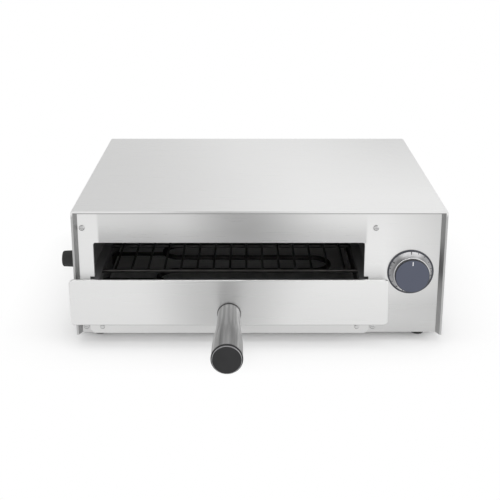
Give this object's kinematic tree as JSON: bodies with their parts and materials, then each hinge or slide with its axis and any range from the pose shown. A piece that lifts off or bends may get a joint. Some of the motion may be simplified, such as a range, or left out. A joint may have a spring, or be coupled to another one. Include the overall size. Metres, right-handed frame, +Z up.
{
  "type": "countertop pizza oven",
  "caption": "Low stainless countertop pizza oven with an open front mouth, a wire rack that pulls out on a handled front plate, a crumb tray under it and a timer knob at the right.",
  "frame": {"origin": "bottom centre of the whole object's box, at the level of the feet's undersides", "axes": "+X to the right seen from the front, +Y to the back, +Z up; the mouth faces -Y"},
  "size_m": [0.5038, 0.5364, 0.185],
  "materials": {
    "stainless": "brushed along the width",
    "black_enamel": "matt black heat-proof enamel",
    "heater_sheath": "dark oxidised steel tube",
    "plain_steel": "plain mill finish",
    "rack_chrome": "dull chrome plate",
    "polished_steel": "polished stainless",
    "black_plastic": "fine moulded texture",
    "dial_silver": "satin",
    "dial_dark": "gloss",
    "knob_face": "satin slate blue",
    "rubber": "matt",
    "screw_steel": "bright zinc",
    "porcelain": "unglazed white",
    "lead_sleeve": "woven heat-proof sleeve"
  },
  "bodies": {
    "housing": {"hood": "stainless", "front_panel": "stainless", "base_plate": "stainless", "back_panel": "stainless", "chamber_left_wall": "black_enamel", "chamber_right_wall": "black_enamel", "chamber_roof": "black_enamel", "chamber_back": "black_enamel", "rack_rail_left": "black_enamel", "rack_rail_right": "black_enamel", "tray_guides": "plain_steel", "lower_element": "heater_sheath", "upper_element": "heater_sheath", "element_brackets": "heater_sheath", "element_bushes": "plain_steel", "element_terminals": "porcelain", "timer_body": "black_plastic", "timer_screws": "screw_steel", "dial_plate": "dial_silver", "dial_rim": "dial_dark", "thermal_cutout": "black_plastic", "cutout_screws": "screw_steel", "terminal_block": "porcelain", "earth_stud": "plain_steel", "internal_leads": "lead_sleeve", "cable_gland": "black_plastic", "gland_nut": "black_plastic", "feet": "rubber", "foot_screws": "screw_steel", "foot_nuts": "screw_steel", "side_bumper": "rubber", "bumper_screw": "screw_steel", "bumper_nut": "screw_steel", "face_screws": "screw_steel", "hood_screws": "screw_steel", "back_screws": "screw_steel"},
    "rack": {"rack_frame": "rack_chrome", "rack_cross_rods": "rack_chrome", "rack_wires": "rack_chrome", "rack_front": "stainless", "handle_collar": "black_plastic", "handle_grip": "polished_steel", "handle_cap": "black_plastic", "handle_insert": "plain_steel", "handle_bolt": "plain_steel"},
    "tray": {"crumb_tray": "black_enamel", "tray_front": "stainless", "tray_rivets": "plain_steel"},
    "timer": {"timer_knob": "black_plastic", "knob_cap": "knob_face", "timer_shaft": "plain_steel"}
  },
  "joints": [
    {"name": "rack_slide", "type": "slide", "parent": "housing", "child": "rack", "axis": [0, -1, 0], "range_m": [0, 0.3]},
    {"name": "tray_slide", "type": "slide", "parent": "housing", "child": "tray", "axis": [0, -1, 0], "range_m": [0, 0.3]},
    {"name": "timer_turn", "type": "hinge", "parent": "housing", "child": "timer", "pos_m": [0.2063, -0.11275, 0.0999], "axis": [0, 1, 0], "range_deg": [0, 300]}
  ]
}
